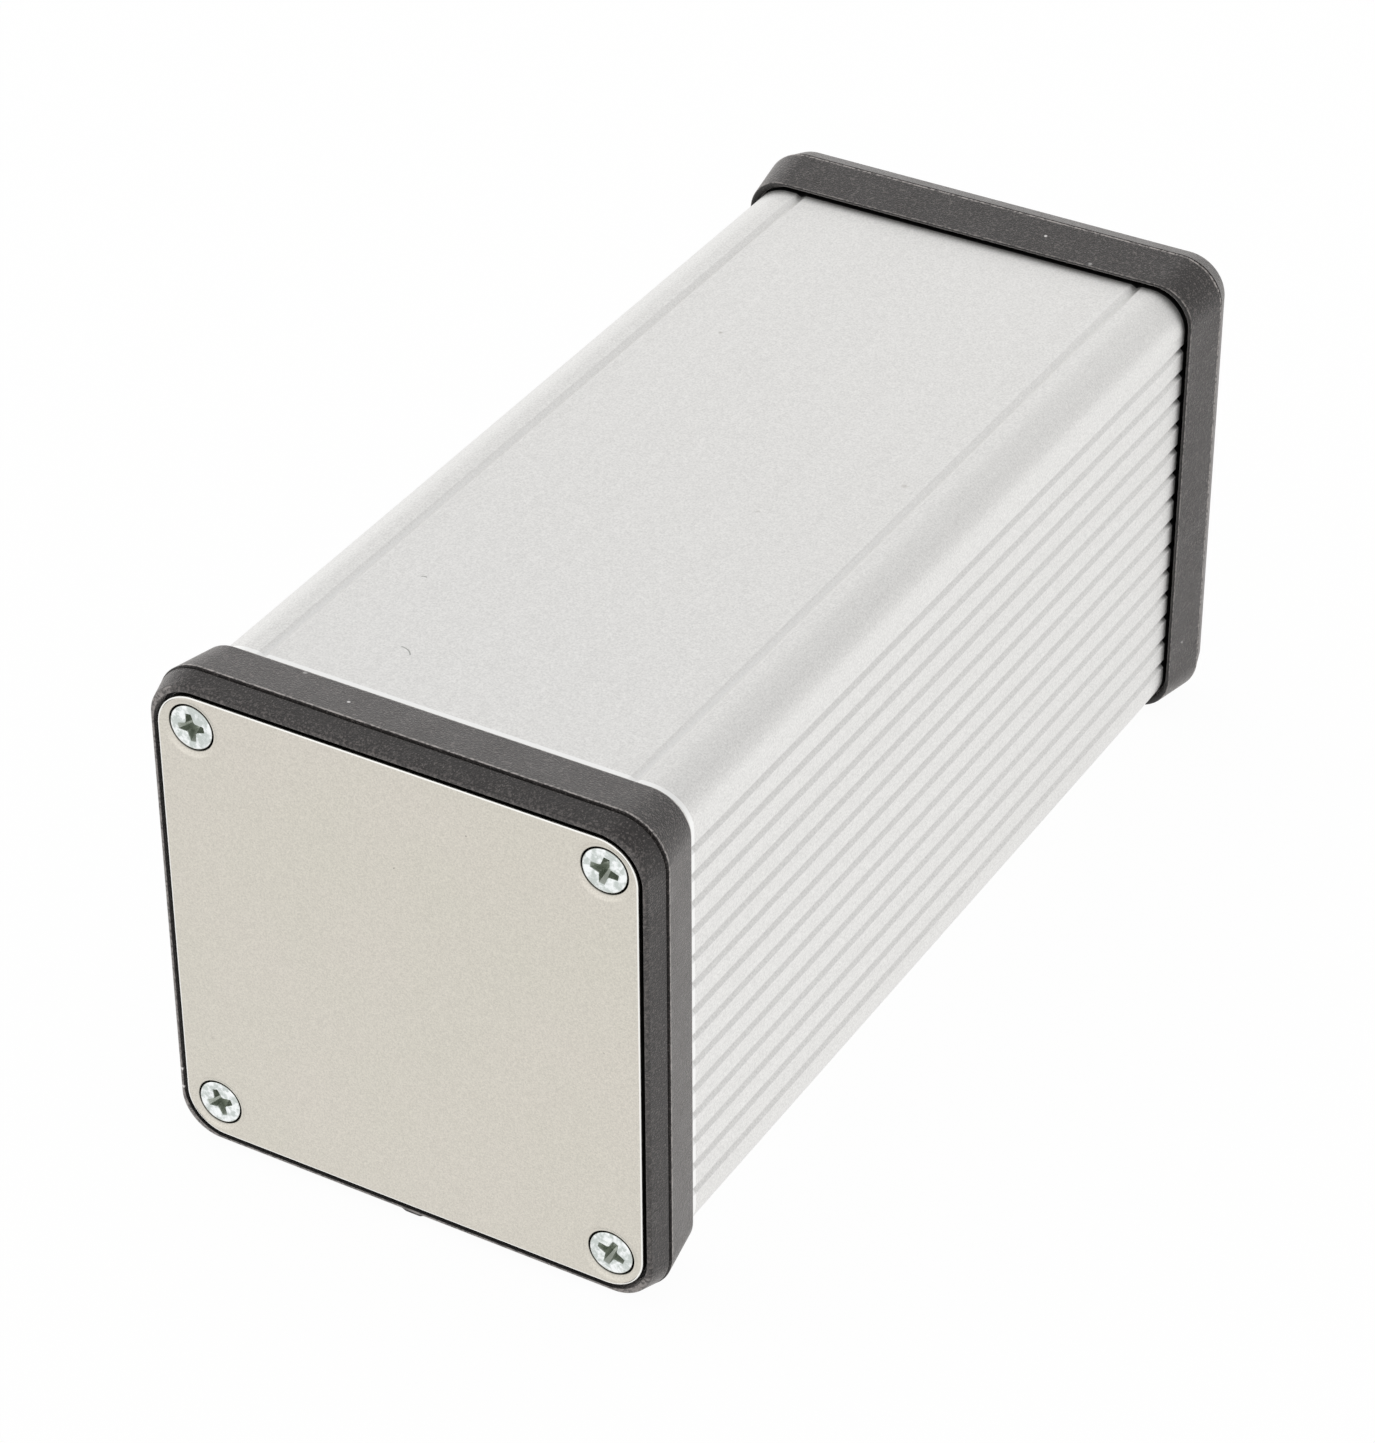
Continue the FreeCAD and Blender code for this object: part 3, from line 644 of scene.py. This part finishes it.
front_panel = piece_from(shape, "front_sheet")
front_panel.data.materials.append(sheet_metal)
rear_panel = turned_round(front_panel, "rear_sheet")
for panel, node in ((front_panel, "front_panel"), (rear_panel, "rear_panel")):
    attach(panel, "root")
    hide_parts(node)


# The screws: eight alike, steel, cold headed with a cross recess, thread rolled and bright
# zinc plated. Four hold each panel and bezel to the tube.
head_sink = 0.31
# How far each screw has been turned, in degrees, by the side and the height of its corner.
turns_front = {(-1, 1): -8, (1, 1): 11, (-1, -1): -20, (1, -1): 21}
turns_rear = {(-1, 1): 41, (1, 1): -6, (-1, -1): 22, (1, -1): 67}

# Directions round the cross, close together where its outline bends.
bends = [0, 5, 9, 11.5, 14, 18, 23, 29, 34, 38, 42, 45]
bends += [90 - bend for bend in reversed(bends[:-1])][:-1]
directions = [math.radians(quarter * 90 + bend) for quarter in range(4) for bend in bends]


def cross_loop(span, root, tip):
    """The cross recess round the screw's axis: wings whose half width goes from root to tip."""
    loop = []
    taper = (root - tip) / span
    nook = root / (0.7071 * (1 + taper)) * 1.10
    for turn in directions:
        along = max(abs(math.cos(turn)), abs(math.sin(turn)))
        aside = min(abs(math.cos(turn)), abs(math.sin(turn)))
        reach = min(span / along, root / (aside + taper * along))
        # The nooks between the wings are rounded.
        if reach < 1.35 * nook and aside > 0.45:
            reach = max(reach, nook)
        loop.append(Vector((math.cos(turn), math.sin(turn))) * reach)
    return loop


def round_loop(radius):
    """A circle with a vertex in each of the same directions."""
    return [Vector((math.cos(turn), math.sin(turn))) * radius for turn in directions]


# A screw from the floor of its recess up, over the head and down the shank, as loop, depth below
# the head's face and tone.
screw_rings = [
    (cross_loop(0.50, 0.32, 0.16), 1.95, 1.0),
    (cross_loop(0.98, 0.50, 0.24), 1.70, 1.0),
    (cross_loop(1.50, 0.66, 0.32), 1.0, 1.0),
    (cross_loop(2.12, 0.80, 0.42), 0.26, 0.9),
    (cross_loop(2.19, 0.83, 0.44), 0.12, 0.8),
    (cross_loop(2.25, 0.87, 0.47), 0.03, 0.0),
    (cross_loop(2.33, 0.93, 0.52), 0.0, 0.0),
    (round_loop(3.12), 0.0, 0.0),
    (round_loop(3.28), 0.015, 0.0),
    (round_loop(3.40), 0.05, 0.0),
    (round_loop(3.47), 0.11, 0.0),
    (round_loop(3.5), 0.17, 0.6),
    (round_loop(3.5), 0.25, 1.0),
    (round_loop(3.44), 0.31, 1.0),
    (round_loop(1.45), 2.30, 1.0),
    (round_loop(1.4), 2.4, 0.3),
    (round_loop(1.4), 18.7, 0.3),
    (round_loop(1.1), 19.0, 0.3),
]

zinc, tree, metal = new_material("bright_zinc_plate")
metal.inputs["Metallic"].default_value = 1.0
crystal = built(grain, Fineness=1500.0, Seed=4.0).outputs["Fine"]
mottle = built(grain, Fineness=900.0, Seed=8.0).outputs["Fine"]
patches = banded(mottle, 0.40, 0.60, 0.0, 1.0)
colour = toward(patches, (0.60, 0.645, 0.62, 1), (0.96, 0.985, 0.985, 1))
# The recess and the head's rim and underside are painted darker: partly thin dull plating, partly
# painted shade.
colour = toward(vertex_tone(), colour, (0.38, 0.41, 0.36, 1))
rough = spread(crystal, 0.22, 0.38)
finished(metal, colour, rough, crystal, 0.5, 0.00008)

for end, turns, node in (
    ("front", turns_front, "front_screws"), ("rear", turns_rear, "rear_screws"),
):
    shape = new_shape()
    for (across, up), turn in turns.items():
        spin = Matrix.Rotation(-math.radians(turn), 2)
        middle = Vector((across, up)) * screw_axis
        rings = []
        for loop, depth, tone in screw_rings:
            placed = [middle + spin @ point for point in loop]
            rings.append(at_depth(shape, placed, depth + head_sink - half_length, tone))
        skinned(shape, rings)
        filled(shape, rings[0])
        filled(shape, rings[-1])
    screws = piece_from(shape, end + "_zinc_screws", crisp=28)
    if end == "rear":
        screws.rotation_euler.z = math.pi
    screws.data.materials.append(zinc)
    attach(screws, "root")
    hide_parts(node)


# The studio: a white table in a white light tent, which is dimmer overhead and in two places at
# the back, and one large soft lamp above.
table_half = 4.0
table_corners = [
    (-table_half, -table_half, 0), (table_half, -table_half, 0),
    (table_half, table_half, 0), (-table_half, table_half, 0),
]
table_mesh = bpy.data.meshes.new("white_table")
table_mesh.from_pydata(table_corners, [], [(0, 1, 2, 3)])
table = bpy.data.objects.new("white_table", table_mesh)
bpy.context.scene.collection.objects.link(table)
table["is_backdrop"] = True
# The table is white to the camera, to metal and to glass, all but a share that keeps shadows.
paper, tree, matte = new_material("white_paper")
matte.inputs["Base Color"].default_value = (0.88, 0.88, 0.87, 1)
matte.inputs["Roughness"].default_value = 0.9
matte.inputs["Specular IOR Level"].default_value = 0.1
rays = step("ShaderNodeLightPath")
seen = maths("MAXIMUM", rays.outputs["Is Camera Ray"], rays.outputs["Is Glossy Ray"])
seen = maths("MAXIMUM", seen, rays.outputs["Is Transmission Ray"])
white_share = 0.95
glow = step("ShaderNodeEmission", Color=(1, 1, 1, 1), Strength=1.01).outputs[0]
mixed = step(
    "ShaderNodeMixShader", _0=times(seen, white_share), _1=matte.outputs[0], _2=glow
).outputs[0]
tree.links.new(mixed, tree.nodes["Material Output"].inputs["Surface"])
table_mesh.materials.append(paper)

world = bpy.data.worlds.new("light_tent")
world.use_nodes = True
tree = world.node_tree
tent = tree.nodes["Background"]
toward_tent = step("ShaderNodeTexCoord").outputs["Generated"]
height = step("ShaderNodeSeparateXYZ", Vector=toward_tent).outputs["Z"]
wall_level, crown_level = 1.28, 0.71
level = banded(height, 0.32, 0.62, wall_level, crown_level)
# The dim places, as the direction of the middle, the cosine at its rim, and the share of light.
for dim_side, rim, dimmest in (((0.70, 0.68, 0.10), 0.72, 0.62), ((-0.72, 0.69, 0.05), 0.80, 0.82)):
    facing = vector_maths("DOT_PRODUCT", toward_tent, Vector(dim_side).normalized())
    level = times(level, banded(facing.outputs["Value"], rim, 1.0, 1.0, dimmest))
# The camera sees it plain white.
rays = step("ShaderNodeLightPath")
level = step("ShaderNodeMix", _0=rays.outputs["Is Camera Ray"], _2=level, _3=1.0).outputs[0]
tree.links.new(level, tent.inputs["Strength"])
tent.inputs["Color"].default_value = (1, 1, 1, 1)
bpy.context.scene.world = world

lamp_data = bpy.data.lights.new("overhead_softbox", "AREA")
lamp_data.shape = "RECTANGLE"
lamp_data.size, lamp_data.size_y = 1.6, 1.6
lamp_data.energy = 1.2
lamp = bpy.data.objects.new("overhead_softbox", lamp_data)
lamp.location = (-0.5, 0.3, 1.7)
case_middle = Vector((0, 0, 0.04))
lamp.rotation_euler = (case_middle - lamp.location).to_track_quat("-Z", "Y").to_euler()
bpy.context.scene.collection.objects.link(lamp)

# The camera stands to the right of the front panel and looks down on the case.
camera_data = bpy.data.cameras.new("camera")
camera = bpy.data.objects.new("camera", camera_data)
bpy.context.scene.collection.objects.link(camera)
right = Vector((0.863873, 0.503689, -0.004602))
down = Vector((0.282043, -0.491260, -0.824085))
ahead = right.cross(down)
stand = Matrix.Translation((0.296941, -0.518067, 0.447108))
camera.matrix_world = stand @ Matrix((right, -down, -ahead)).transposed().to_4x4()
camera_data.sensor_width = 36
camera_data.lens = 117.233
camera_data.shift_x = 0.0031
camera_data.shift_y = -0.0128
camera_data.clip_start, camera_data.clip_end = 0.05, 20
bpy.context.scene.camera = camera
bpy.context.scene.view_settings.view_transform = "Standard"

low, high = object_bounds()
